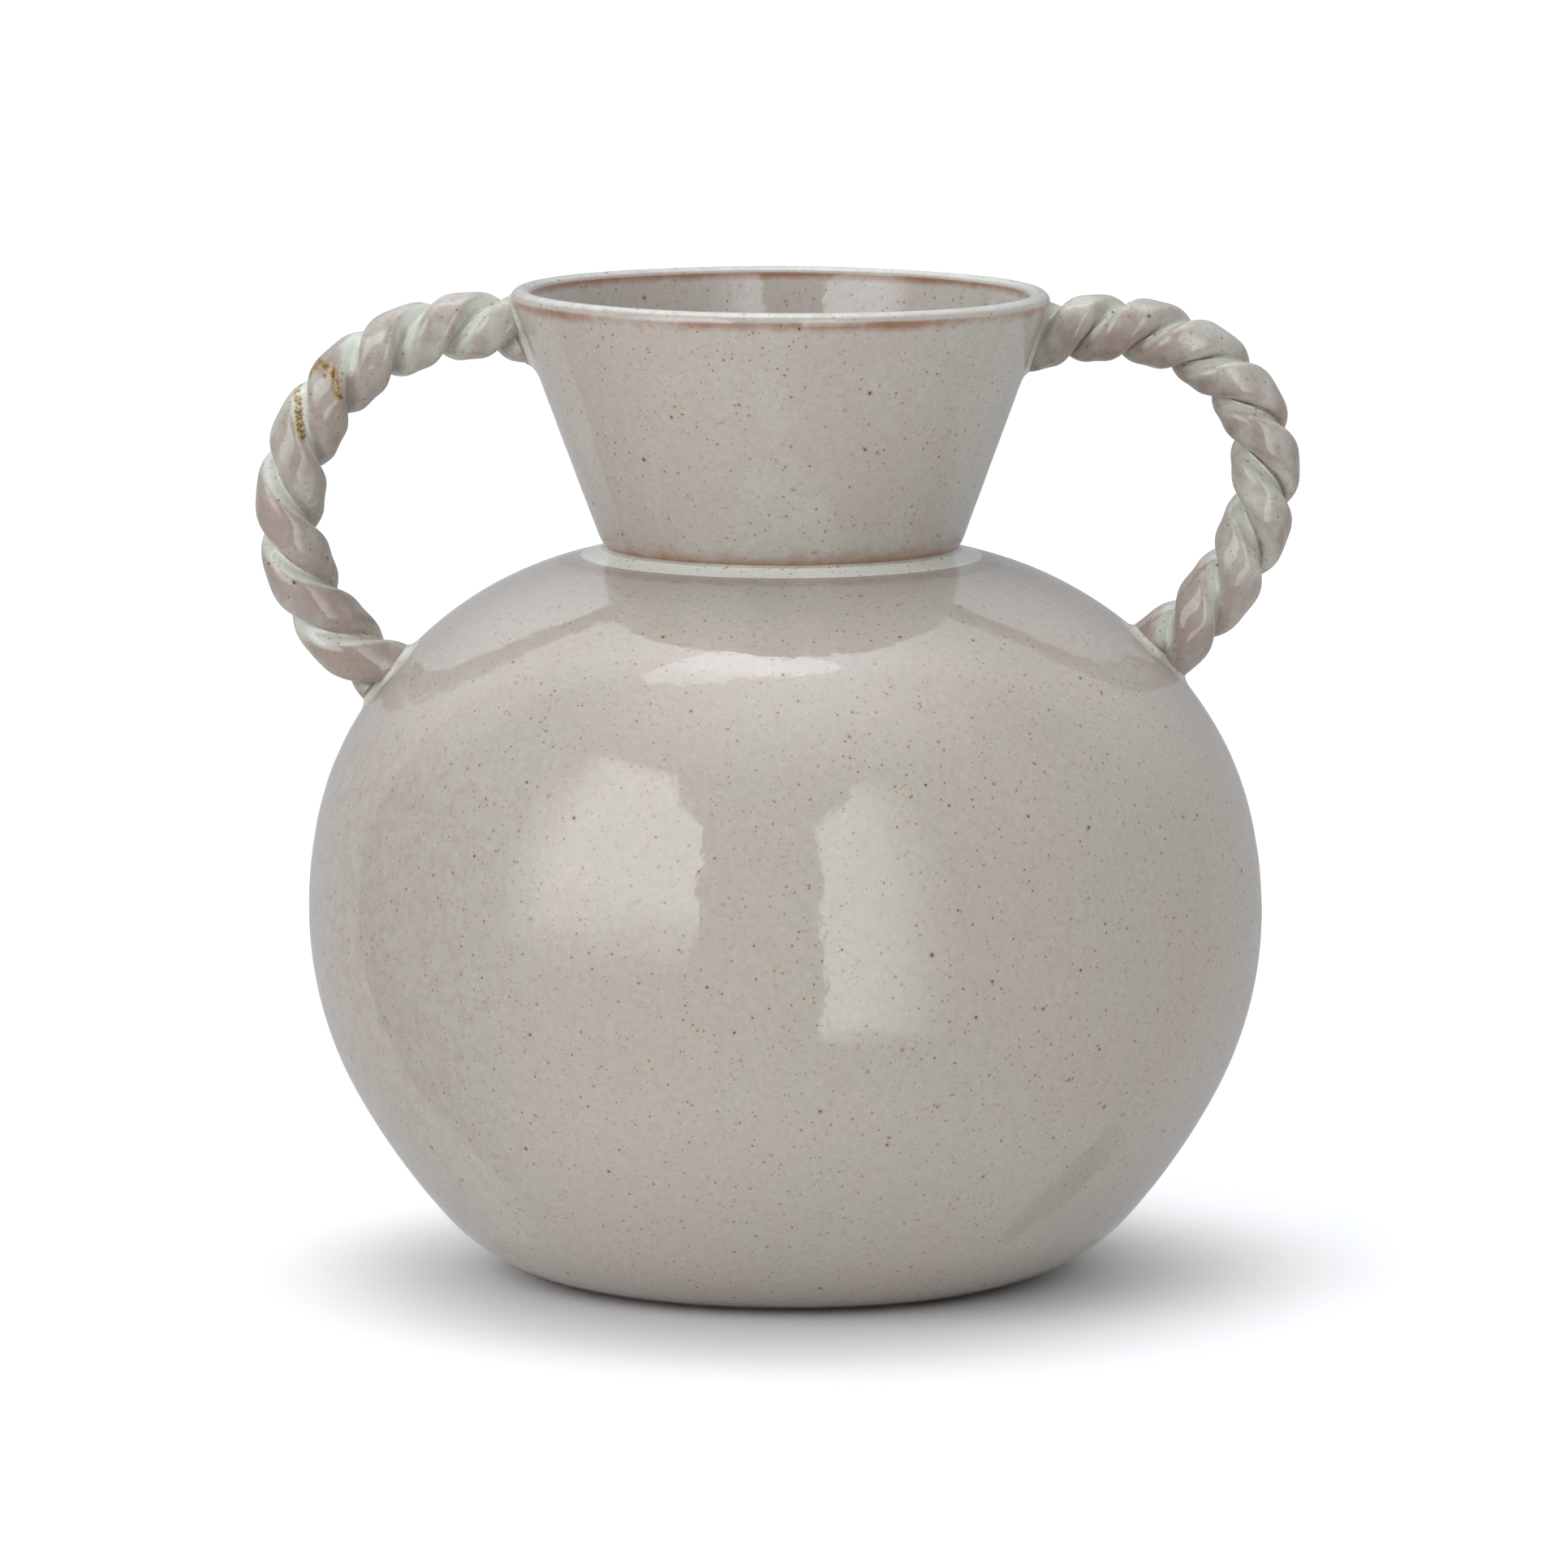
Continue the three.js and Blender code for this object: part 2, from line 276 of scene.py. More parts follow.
def piece(work, name, cad_node, material, lie_of_glaze_and_light=None, rust=None):
    """Finishes a bmesh as a piece that stands for a CAD node. The function after the material gives,
    for a place, its normal and its share of the way around, how the glaze lies, with painted light and
    shade added in: 1 where it has pooled or is painted lighter, -1 where it ran thin or is painted darker.
    Rust gives how much iron has run down there, up to 1."""
    bmesh.ops.remove_doubles(work, verts=work.verts, dist=0.01 * MM)
    bmesh.ops.recalc_face_normals(work, faces=work.faces)
    work.normal_update()
    glaze_and_painted_light = work.verts.layers.float.new("glaze_and_painted_light")
    iron_run = work.verts.layers.float.new("iron_run")
    around = work.verts.layers.float.get("around")
    for v in work.verts:
        v[glaze_and_painted_light] = lie_of_glaze_and_light(v.co, v.normal, v[around] if around else 0.0) if lie_of_glaze_and_light else 0.0
        v[iron_run] = rust(v.co, v.normal) if rust else 0.0
    for v in work.verts:
        v.co = settled(v.co)
    data = bpy.data.meshes.new(name)
    work.to_mesh(data)
    work.free()
    data.shade_smooth()
    data.set_sharp_from_angle(angle=SHARP_EDGE)
    data.materials.append(material)
    made = bpy.data.objects.new(name, data)
    bpy.context.scene.collection.objects.link(made)
    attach(made, "root")
    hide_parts(cad_node)
    return made


# ---- Glaze and clay ---------------------------------------------------------------------------

# Inputs of a Mix node that blends colours.
UNDER, OVER = 6, 7


def linear(code):
    """An sRGB hex code as linear red, green, blue and alpha."""
    parts = [int(code[i:i + 2], 16) / 255 for i in (1, 3, 5)]
    return tuple(p / 12.92 if p <= 0.04045 else ((p + 0.055) / 1.055) ** 2.4 for p in parts) + (1.0,)


def node(tree, kind, settings=None, links=None):
    """Adds a node. Settings are properties, in small letters, and values of inputs, by name or
    number. Links are what feeds the inputs: sockets, or nodes for their first output in use."""
    made = tree.nodes.new(kind)
    for key, value in (settings or {}).items():
        if isinstance(key, str) and key[0].islower():
            setattr(made, key, value)
        else:
            made.inputs[key].default_value = value
    for key, source in (links or {}).items():
        if isinstance(source, bpy.types.Node):
            source = next(output for output in source.outputs if output.enabled)
        tree.links.new(source, made.inputs[key])
    return made


def new_material(name):
    material = bpy.data.materials.new(name)
    material.use_nodes = True
    material.node_tree.nodes.clear()
    return material, material.node_tree


def specks(tree, place, colour, cell, radius, halo, ink, bleed):
    """Iron specks that bled through the glaze. They lie in cells of the given size, each a core in a
    paler halo of the given radii, in millimetres."""
    cells = node(
        tree, "ShaderNodeTexVoronoi", {"feature": "F1", "Scale": 1000 / cell, "Randomness": 1.0},
        {"Vector": place},
    )
    own = node(tree, "ShaderNodeSeparateColor", {}, {"Color": cells.outputs["Color"]})
    size = node(
        tree, "ShaderNodeMapRange", {3: 0.35, 4: 1.0, 1: 0.0, 2: 1.0}, {0: own.outputs[1]},
    )
    distance = node(
        tree, "ShaderNodeMath", {"operation": "DIVIDE"}, {0: cells.outputs["Distance"], 1: size},
    )
    core = node(
        tree, "ShaderNodeMapRange",
        {"interpolation_type": "SMOOTHSTEP", 1: radius / cell, 2: 0.4 * radius / cell, 4: 0.9},
        {0: distance},
    )
    glow = node(
        tree, "ShaderNodeMapRange",
        {"interpolation_type": "SMOOTHSTEP", 1: halo / cell, 2: 0.3 * halo / cell, 4: 0.4},
        {0: distance},
    )
    haloed = node(
        tree, "ShaderNodeMix", {"data_type": "RGBA", OVER: linear(bleed)}, {"Factor": glow, UNDER: colour},
    )
    return node(
        tree, "ShaderNodeMix", {"data_type": "RGBA", OVER: linear(ink)}, {"Factor": core, UNDER: haloed},
    )


def poured_glaze(name, thick, thin, pooled, edge, blotch, seed):
    """Reactive stoneware glaze, poured on and fired glossy. It gives the eye a soft milky mottle of
    grey-green where it is thick and pink where it is thin, pale pools in the hollows, a brown line
    where it breaks over an edge, and a hard wet shine that ripples over the potter's hand."""
    material, tree = new_material(name)
    middle = node(tree, "ShaderNodeTexCoord").outputs["Object"]
    place = node(tree, "ShaderNodeMapping", {"Location": (seed, 0, 0)}, {"Vector": middle})
    lie_of_glaze_and_light = node(tree, "ShaderNodeAttribute", {"attribute_name": "glaze_and_painted_light"}).outputs["Fac"]

    # Blotches drawn out a little downwards, as the glaze ran: broad ones, and smaller ones in them.
    run = node(tree, "ShaderNodeMapping", {"Scale": (1.0, 1.0, 0.6)}, {"Vector": place})
    broad = node(
        tree, "ShaderNodeTexNoise", {"Scale": 500 / blotch, "Detail": 2.0, "Distortion": 0.3},
        {"Vector": run},
    )
    small = node(
        tree, "ShaderNodeTexNoise", {"Scale": 2200 / blotch, "Detail": 4.0, "Roughness": 0.6},
        {"Vector": run},
    )
    both = node(
        tree, "ShaderNodeMath", {"operation": "MULTIPLY_ADD", 1: 0.6}, {0: small, 2: broad},
    )
    thickness = node(
        tree, "ShaderNodeMapRange", {"interpolation_type": "SMOOTHSTEP", 1: 0.62, 2: 0.98}, {0: both},
    )
    colour = node(
        tree, "ShaderNodeMix",
        {"data_type": "RGBA", UNDER: linear(thin), OVER: linear(thick)}, {"Factor": thickness},
    )

    # Fine curdling of the milky layer, about a millimetre across.
    curdle = node(
        tree, "ShaderNodeTexNoise", {"Scale": 620.0, "Detail": 3.0, "Roughness": 0.6}, {"Vector": place},
    )
    shade = node(
        tree, "ShaderNodeMapRange", {1: 0.3, 2: 0.7, 3: 0.94, 4: 1.06}, {0: curdle},
    )
    curdled = node(tree, "ShaderNodeHueSaturation", {}, {"Color": colour, "Value": shade})

    # Pools and thin edges follow the shape, with ragged borders. Where a piece asks for it, the pale pool
    # colour is also painted light and the brown edge colour painted shade.
    rag = node(
        tree, "ShaderNodeTexNoise", {"Scale": 260.0, "Detail": 4.0, "Roughness": 0.6}, {"Vector": place},
    )
    ragged = node(
        tree, "ShaderNodeMath", {"operation": "MULTIPLY_ADD", 1: 0.7, 2: -0.35}, {0: rag},
    )
    lie = node(tree, "ShaderNodeMath", {"operation": "ADD"}, {0: ragged, 1: lie_of_glaze_and_light})
    pool = node(
        tree, "ShaderNodeMapRange", {"interpolation_type": "SMOOTHSTEP", 1: 0.15, 2: 0.9}, {0: lie},
    )
    bare = node(
        tree, "ShaderNodeMapRange", {"interpolation_type": "SMOOTHSTEP", 1: -0.15, 2: -1.0}, {0: lie},
    )
    pools = node(
        tree, "ShaderNodeMix", {"data_type": "RGBA", OVER: linear(pooled)},
        {"Factor": pool, UNDER: curdled},
    )
    colour = node(
        tree, "ShaderNodeMix", {"data_type": "RGBA", OVER: linear(edge)}, {"Factor": bare, UNDER: pools},
    )

    colour = specks(tree, place, colour, cell=2.2, radius=0.4, halo=0.8, ink="#7a5218", bleed="#a98448")
    colour = specks(tree, place, colour, cell=1.35, radius=0.26, halo=0.45, ink="#8a6427", bleed="#a58d5e")
    colour = specks(tree, place, colour, cell=7.0, radius=0.62, halo=1.2, ink="#45300f", bleed="#8a6222")

    # Iron that ran down, broken into dots and threads.
    run_here = node(tree, "ShaderNodeAttribute", {"attribute_name": "iron_run"}).outputs["Fac"]
    broken = node(
        tree, "ShaderNodeTexNoise", {"Scale": 700.0, "Detail": 4.0, "Roughness": 0.8}, {"Vector": place},
    )
    strength = node(tree, "ShaderNodeMath", {"operation": "MULTIPLY"}, {0: run_here, 1: broken})
    rusty = node(
        tree, "ShaderNodeMapRange", {"interpolation_type": "SMOOTHSTEP", 1: 0.42, 2: 0.6}, {0: strength},
    )
    rust = node(
        tree, "ShaderNodeMix",
        {"data_type": "RGBA", UNDER: linear("#9a7a35"), OVER: linear("#3f2a12")}, {"Factor": rusty},
    )
    seen = node(
        tree, "ShaderNodeMapRange",
        {"interpolation_type": "SMOOTHSTEP", 1: 0.35, 2: 0.46, 4: 0.9}, {0: strength},
    )
    colour = node(
        tree, "ShaderNodeMix", {"data_type": "RGBA"}, {"Factor": seen, UNDER: colour, OVER: rust},
    )

    # The glaze was wiped back from the foot, where the bare clay shows.
    height = node(tree, "ShaderNodeSeparateXYZ", {}, {"Vector": middle}).outputs["Z"]
    wiped = node(
        tree, "ShaderNodeMapRange", {"interpolation_type": "SMOOTHSTEP", 1: 1.7 * MM, 2: 1.2 * MM},
        {0: height},
    )
    colour = node(
        tree, "ShaderNodeMix", {"data_type": "RGBA", OVER: linear("#7c4f3c")},
        {"Factor": wiped, UNDER: colour},
    )

    # The fired surface is not quite level: swells about 15 mm across and a tenth of a millimetre high,
    # with finer ones in them.
    swell = node(
        tree, "ShaderNodeTexNoise", {"Scale": 70.0, "Detail": 4.0, "Roughness": 0.5}, {"Vector": place},
    )
    bump = node(tree, "ShaderNodeBump", {"Strength": 1.0, "Distance": 0.24 * MM}, {"Height": swell})
    shader = node(
        tree, "ShaderNodeBsdfPrincipled", {"IOR": 1.54, "Roughness": 0.04},
        {"Base Color": colour, "Normal": bump},
    )
    node(tree, "ShaderNodeOutputMaterial", {}, {"Surface": shader})
    return material


def bare_stoneware():
    """Unglazed stoneware, fired reddish brown and wiped with a sponge. It gives the eye a dry, gritty
    ring under the shine."""
    material, tree = new_material("bare_fired_stoneware")
    place = node(tree, "ShaderNodeTexCoord").outputs["Object"]
    grit = node(
        tree, "ShaderNodeTexNoise", {"Scale": 900.0, "Detail": 4.0, "Roughness": 0.7}, {"Vector": place},
    )
    flash = node(tree, "ShaderNodeTexNoise", {"Scale": 90.0, "Detail": 3.0}, {"Vector": place})
    colour = node(
        tree, "ShaderNodeMix",
        {"data_type": "RGBA", UNDER: linear("#8c5d45"), OVER: linear("#a57457")}, {"Factor": flash},
    )
    colour = specks(tree, place, colour, cell=2.0, radius=0.3, halo=0.4, ink="#4c3426", bleed="#7a523c")
    bump = node(tree, "ShaderNodeBump", {"Strength": 1.0, "Distance": 0.08 * MM}, {"Height": grit})
    shader = node(
        tree, "ShaderNodeBsdfPrincipled", {"Roughness": 0.85, "IOR": 1.5},
        {"Base Color": colour, "Normal": bump},
    )
    node(tree, "ShaderNodeOutputMaterial", {}, {"Surface": shader})
    return material


# On the globe the edge colour also serves as painted shade down the left side.
body_glaze = poured_glaze(
    "poured_body_glaze",
    thick="#a59f95", thin="#a89e94", pooled="#b8b9ae", edge="#86756a", blotch=24, seed=0.0,
)
neck_glaze = poured_glaze(
    "poured_neck_glaze",
    thick="#aba89e", thin="#a99f96", pooled="#c6c6c1", edge="#8a6650", blotch=24, seed=0.4,
)
# On the ropes the pooled colour also serves as painted light, and the edge colour as painted shade on the
# undersides.
rope_glaze = poured_glaze(
    "poured_rope_glaze",
    thick="#aba99f", thin="#95877e", pooled="#c0c2b7", edge="#65524a", blotch=11, seed=0.8,
)
pool_glaze = poured_glaze(
    "pooled_seam_glaze",
    thick="#bebeb3", thin="#b2aea4", pooled="#dadbd0", edge="#87736a", blotch=14, seed=1.2,
)
clay = bare_stoneware()


# ---- Globe, foot and neck ---------------------------------------------------------------------

WALL_SPACING = 2.2 * MM


def globe():
    """The hollow body: from under the foot up the outside, over the throat and down the inside."""
    outside = [p for arc in reversed(lower_wall) for p in reversed(arc.points(WALL_SPACING))]
    outside = [p for p in outside if p[1] > GLAZE_STOP + 0.5 * MM]
    outside.append((BELLY, BELLY_HEIGHT))
    outside += [p for arc in shoulder_wall for p in arc.points(WALL_SPACING)]
    inside = [p for arc in reversed(lower_wall) for p in reversed(arc.points(WALL_SPACING, -WALL))]
    inside = [p for p in inside if p[1] > FLOOR_TOP + MM]
    inside += [p for arc in shoulder_wall for p in arc.points(WALL_SPACING, -WALL) if p[0] > THROAT + MM]
    edge = foot_arc.point(math.asin((foot_arc.z - GLAZE_STOP) / foot_arc.radius))
    recess = FOOT_OUTER + GAP
    underside = FOOT_TOP + GAP
    outline = [(0, underside), (recess / 2, underside), (recess, underside)]
    outline += [(recess, GLAZE_STOP + 0.4 * MM), (recess + 0.4 * MM, GLAZE_STOP)]
    outline.append((edge[0] - MM, GLAZE_STOP))
    outline.append((edge[0] + 1.2 * MM, edge[1] + 0.35 * MM))
    outline += outside
    outline += [(THROAT + MM, SHOULDER_TOP), (THROAT, SHOULDER_TOP - MM)]
    outline.append((THROAT, inside[-1][1] + 1.5 * MM))
    outline += reversed(inside)
    floor_edge = inside[0][0]
    outline += [(floor_edge - 6 * MM, FLOOR_TOP + 0.2 * MM), (floor_edge - 20 * MM, FLOOR_TOP)]
    outline.append((0, FLOOR_TOP))
    return turned(outline, closed=False)


# Heights where the painted shade down the left side starts to fade out, and where it ends.
LEFT_SHADE_FADES = 130 * MM
LEFT_SHADE_TOP = 160 * MM


def globe_glaze_and_shade(place, normal, around):
    """The left side is painted darker as shade, fading out high on the shoulder, and the glaze ran thin
    just outside the seam.
    """
    # Painted shade: the left side is made to lie as thin, brown-edged glaze, so that it comes out darker.
    left = -0.33 * smoothstep(0.2, 0.75, -place.x / BELLY)
    if above_shoulder(place) < -MM or place.z < BELLY_HEIGHT:
        return left
    from_seam = abs(math.hypot(place.x, place.y) - seam_high.x - 0.3 * MM)
    left *= smoothstep(LEFT_SHADE_TOP, LEFT_SHADE_FADES, place.z)
    return left - 0.5 * (1 - smoothstep(0.6 * MM, 4 * MM, from_seam))


FOOT_WIDTH = 10 * MM
FOOT_EDGE = 0.6 * MM


def foot():
    """The flat ring it stands on, its edges rubbed off."""
    inner = FOOT_OUTER - FOOT_WIDTH
    soft = FOOT_EDGE
    outline = [
        (inner + soft, 0), (FOOT_OUTER - soft, 0), (FOOT_OUTER, soft), (FOOT_OUTER, FOOT_TOP),
        (inner, FOOT_TOP), (inner, soft),
    ]
    return turned(outline, closed=True)


LIP_STEPS = 14
STRAIGHT_STEPS = 26
BROW = neck_low.z + 0.7 * MM
BROW_ROUND = 1.1 * MM


def neck():
    """A flaring wall with a rounded lip, its lowest edge rounded over like a brow."""
    base = SHOULDER_TOP - 0.3 * MM
    brow_radius = neck_radius(BROW, LIP)
    outline = [(THROAT - 0.1 * MM, base), (brow_radius - 2.2 * MM, base)]
    for i in range(7):
        turn = -math.pi / 2 + (math.pi / 2 - NECK_LEAN) * i / 6
        outline.append((
            brow_radius + BROW_ROUND * (math.cos(turn) - 1),
            BROW + BROW_ROUND * (1 + math.sin(turn)),
        ))
    start = BROW + 2.8 * MM
    outer_top = lip_height - LIP * math.sin(NECK_LEAN)
    for i in range(STRAIGHT_STEPS):
        z = start + (outer_top - start) * i / STRAIGHT_STEPS
        outline.append((neck_radius(z, LIP), z))
    for i in range(LIP_STEPS + 1):
        turn = -NECK_LEAN + math.pi * i / LIP_STEPS
        outline.append((LIP_RING + LIP * math.cos(turn), lip_height + LIP * math.sin(turn)))
    inner_top = lip_height + LIP * math.sin(NECK_LEAN)
    for i in range(1, STRAIGHT_STEPS):
        z = inner_top + (base - inner_top) * i / STRAIGHT_STEPS
        outline.append((max(neck_radius(z, -LIP), THROAT - 0.1 * MM), z))
    return turned(outline, closed=True)


def neck_depth(place, normal, around):
    """Brown in a band under the lip's rim, outside and inside, and on the brow, and pale along the
    lip's top. The bands are given by how far they lie below the top."""
    below_top = HEIGHT - place.z
    uneven = 0.7 + 0.5 * noise.noise(place / (22 * MM))
    pale = 0.55 * (1 - smoothstep(0.5 * MM, 1.8 * MM, below_top))
    if normal.x * place.x + normal.y * place.y > 0:
        lip = smoothstep(6.0 * MM, 2.6 * MM, below_top) * smoothstep(1.6 * MM, 2.5 * MM, below_top)
        brow = 1 - smoothstep(0.0, 4.2 * MM, place.z - BROW - 0.6 * MM)
        low = 1 - smoothstep(5 * MM, 25 * MM, place.z - BROW)
        return pale - uneven * lip - 0.62 * brow - 0.2 * low
    inner = smoothstep(2.6 * MM, 1.9 * MM, below_top) * smoothstep(0.9 * MM, 1.5 * MM, below_top)
    return pale - (0.75 + 0.3 * uneven) * inner


def seam():
    """The hollow fillet between the neck and the shoulder."""
    top = (neck_radius(BROW, LIP) - 0.3 * MM, BROW + 0.8 * MM)
    outer_turn = math.acos((seam_high.x + 0.6 * MM - top_arc.x) / top_arc.radius)
    outer = top_arc.point(outer_turn, -0.05 * MM)
    knee_turn = math.acos((neck_radius(neck_low.z, LIP) + 0.9 * MM - top_arc.x) / top_arc.radius)
    knee = top_arc.point(knee_turn, 0.15 * MM)
    steps = 14
    outline = []
    for i in range(steps + 1):
        t = i / steps
        weights = ((1 - t) ** 2, 2 * t * (1 - t), t**2)
        outline.append(tuple(sum(w * c for w, c in zip(weights, axis)) for axis in zip(outer, knee, top)))
    outline += [(top[0] - 1.2 * MM, top[1] - 0.4 * MM), (top[0] - 1.2 * MM, SHOULDER_TOP - MM)]
    outline.append(top_arc.point(outer_turn, -1.2 * MM))
    return turned(outline, closed=True)


def seam_depth(place, normal, around):
    """Pooled in the hollow, and thin against the neck and along the outer edge."""
    radius = math.hypot(place.x, place.y)
    from_neck = smoothstep(0.4 * MM, 1.4 * MM, radius - neck_radius(neck_low.z, LIP))
    from_edge = smoothstep(0.0, 3.2 * MM, seam_high.x + 0.4 * MM - radius)
    return -0.4 + 1.5 * from_neck * from_edge


piece(globe(), "glazed_globe", "globe_body", body_glaze, globe_glaze_and_shade)
piece(foot(), "bare_foot_ring", "foot_ring", clay)
piece(neck(), "glazed_neck", "flared_neck", neck_glaze, neck_depth)
piece(seam(), "glazed_seam", "neck_seam", pool_glaze, seam_depth)


# ---- Rope handles -----------------------------------------------------------------------------

# Each rope is two rolls of clay, in millimetres: each oval, and how far apart their middles are.
ROLL_OFFSET = 3.9
ROLL_DEPTH = 4.3
ROLL_WIDTH = 6.2
GROOVE_RADIUS = 4.7
HALF_TURNS = 7
SLACKENING = 0.13
ROPE_STEPS = 230
ROLL_POINTS = 36
LINE_SAMPLES = 600


class Rope:
    """A handle's middle line and the lay of its two rolls.

    The route is the four points of a Bezier curve: x as a share of the rope's reach from the axis,
    z as a share of the vase's height. The first and last turn are distances along it.
    """

    def __init__(self, name, side, route, first, last):
        low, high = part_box(name + "_rope_roll_a")
        other_low, other_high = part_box(name + "_rope_roll_b")
        reach = max(abs(c.x) for c in (low, high, other_low, other_high))
        self.name = name
        self.side = side
        self.first = first
        self.last = last
        self.route = [Vector((side * x * reach, 0, z * HEIGHT)) for x, z in route]
        self.line = [self.bezier(i / LINE_SAMPLES) for i in range(LINE_SAMPLES + 1)]
        self.lengths = [0.0]
        for a, b in zip(self.line, self.line[1:]):
            self.lengths.append(self.lengths[-1] + (b - a).length)
        self.length = self.lengths[-1]

    def bezier(self, t):
        a, b, c, d = self.route
        return (1 - t) ** 3 * a + 3 * t * (1 - t) ** 2 * b + 3 * t * t * (1 - t) * c + t**3 * d

    def at(self, distance):
        """Place and direction at a distance along the line."""
        i = next((k for k, length in enumerate(self.lengths) if length >= distance), len(self.line) - 1)
        i = max(1, i)
        share = (distance - self.lengths[i - 1]) / (self.lengths[i] - self.lengths[i - 1])
        step = self.line[i] - self.line[i - 1]
        return self.line[i - 1] + step * share, step.normalized()

    def lay(self, distance):
        along = (distance - self.first) / (self.last - self.first)
        return math.pi / 2 - math.pi * HALF_TURNS * ((1 + SLACKENING) * along - SLACKENING * along * along)

    def thickness(self, distance, phase):
        """Metres to a millimetre of section: the rope swells towards the shoulder, and is uneven."""
        uneven = noise.noise(Vector((distance / (14 * MM), phase, self.side * 3.0)))
        return (0.98 + 0.07 * distance / self.length + 0.035 * uneven) * MM

    def around(self, distance, turn):
        """The direction out of the middle line, at a turn about it."""
        _, along = self.at(distance)
        across = Vector((0, 1, 0))
        return across.cross(along) * math.cos(turn) + across * math.sin(turn)

    def roll_ring(self, distance, phase, section):
        centre, _ = self.at(distance)
        turn = self.lay(distance) + phase
        right = self.around(distance, turn)
        up = self.around(distance, turn + math.pi / 2)
        size = self.thickness(distance, phase)
        return [centre + (right * x + up * y) * size for x, y in section]

    def meets(self, wall, start, end):
        """Distance along the line, between a start in the wall and an end outside it, where it
        comes out of the wall."""
        for _ in range(30):
            middle = (start + end) / 2
            if wall(self.at(middle)[0]) < 0:
                start = middle
            else:
                end = middle
        return start


def oval_reach(turn):
    """How far a roll's oval reaches from the rope's middle, at a turn from the roll's own side."""
    x, y = math.cos(turn), math.sin(turn)
    a = (x / ROLL_DEPTH) ** 2 + (y / ROLL_WIDTH) ** 2
    b = -2 * x * ROLL_OFFSET / ROLL_DEPTH**2
    c = (ROLL_OFFSET / ROLL_DEPTH) ** 2 - 1
    reach = (-b + math.sqrt(b * b - 4 * a * c)) / (2 * a)
    fill = 6
    return (reach**fill + GROOVE_RADIUS**fill) ** (1 / fill)


def roll_section():
    """One roll: half the rope's outline, its hidden side sunk 0.3 mm into the other roll."""
    turns = [-math.pi / 2 + math.pi * i / ROLL_POINTS for i in range(ROLL_POINTS + 1)]
    outline = [(oval_reach(turn) * math.cos(turn), oval_reach(turn) * math.sin(turn)) for turn in turns]
    sunk = GROOVE_RADIUS - 0.8
    return outline + [(-0.3, sunk), (-0.3, -sunk)]


ROOT_DEPTH = 1.5 * MM


def trimmed(work, wall_place, wall_normal):
    """Cuts a roll off under the skin of the wall that it is pressed into."""
    bmesh.ops.bisect_plane(
        work, geom=work.verts[:] + work.edges[:] + work.faces[:], dist=0.001 * MM,
        plane_co=wall_place - wall_normal * ROOT_DEPTH, plane_no=wall_normal, clear_inner=True,
    )
    bmesh.ops.holes_fill(work, edges=[e for e in work.edges if e.is_boundary])


def roll(rope, phase, ends):
    section = roll_section()
    rings = [rope.roll_ring(rope.length * i / ROPE_STEPS, phase, section) for i in range(ROPE_STEPS + 1)]
    work = lofted(rings, closed=False)
    for place, normal in ends:
        trimmed(work, place, normal)
    return work


def roll_glaze_and_light(place, normal, around):
    """Glaze pools in the groove where it faces up, which also paints light from above there. Where it
    faces down it is
    painted darker, most beside the groove: painted shade, with some thin glaze. The left handle, and the
    low part of the right one, are painted lighter as painted light."""
    turn = -math.pi / 2 + math.pi * min(1.0, around * (ROLL_POINTS + 3) / ROLL_POINTS)
    pool = 1 - smoothstep(4.9, 8.1, oval_reach(turn))
    crease = 1 - smoothstep(4.8, 6.0, oval_reach(turn))
    crest = smoothstep(7.0, 8.2, oval_reach(turn))
    # Painted light and shade: faces that look up come out paler and faces that look down darker, as if lit
    # from above.
    upward = smoothstep(-0.1, 0.5, normal.z)
    downward = smoothstep(0.15, -0.5, normal.z)
    # Painted light: the left handle, and the right one low down, are made paler.
    painted_handle_light = 0.5 if place.x < 0 else 0.4 * smoothstep(0.185, 0.16, place.z)
    return painted_handle_light + pool * upward - 0.65 * crease * downward - 0.3 * crest - 0.2 * downward


# Where iron ran down the front of the left handle, as shares of its box from the outermost side
# and from its lowest point.
RUST_PATH = (
    (0.315, 0.735), (0.292, 0.805), (0.244, 0.822), (0.198, 0.79), (0.152, 0.75), (0.178, 0.625),
)
left_low, left_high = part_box("left_rope_roll_a")
rust_posts = [
    Vector((left_low.x + x * (left_high.x - left_low.x), 0, left_low.z + z * (left_high.z - left_low.z)))
    for x, z in RUST_PATH
]


def left_rust(place, normal):
    """How much iron ran down at a place: 1 on the line that it took, down to 0 beside it."""
    if normal.y > 0.1:
        return 0.0
    flat = Vector((place.x, 0, place.z))
    nearest = WALL
    for a, b in zip(rust_posts, rust_posts[1:]):
        share = min(1.0, max(0.0, (flat - a).dot(b - a) / (b - a).length_squared))
        nearest = min(nearest, (a + (b - a) * share - flat).length)
    return 1 - smoothstep(0.2 * MM, 2.8 * MM, nearest)


COLLAR_STEPS = 56

# The collar's section in millimetres: how far out along the wall, and how high above it.
COLLAR_SECTION = (
    (-0.9, 1.9), (-0.35, 1.35), (0.2, 0.9), (0.9, 0.5), (1.8, 0.22), (2.9, 0.04),
    (3.3, -0.25), (1.0, -0.7), (-1.4, -0.7),
)


def nearer_roll(turn):
    """The turn as seen from the nearer roll's side."""
    return (turn + math.pi / 2) % math.pi - math.pi / 2


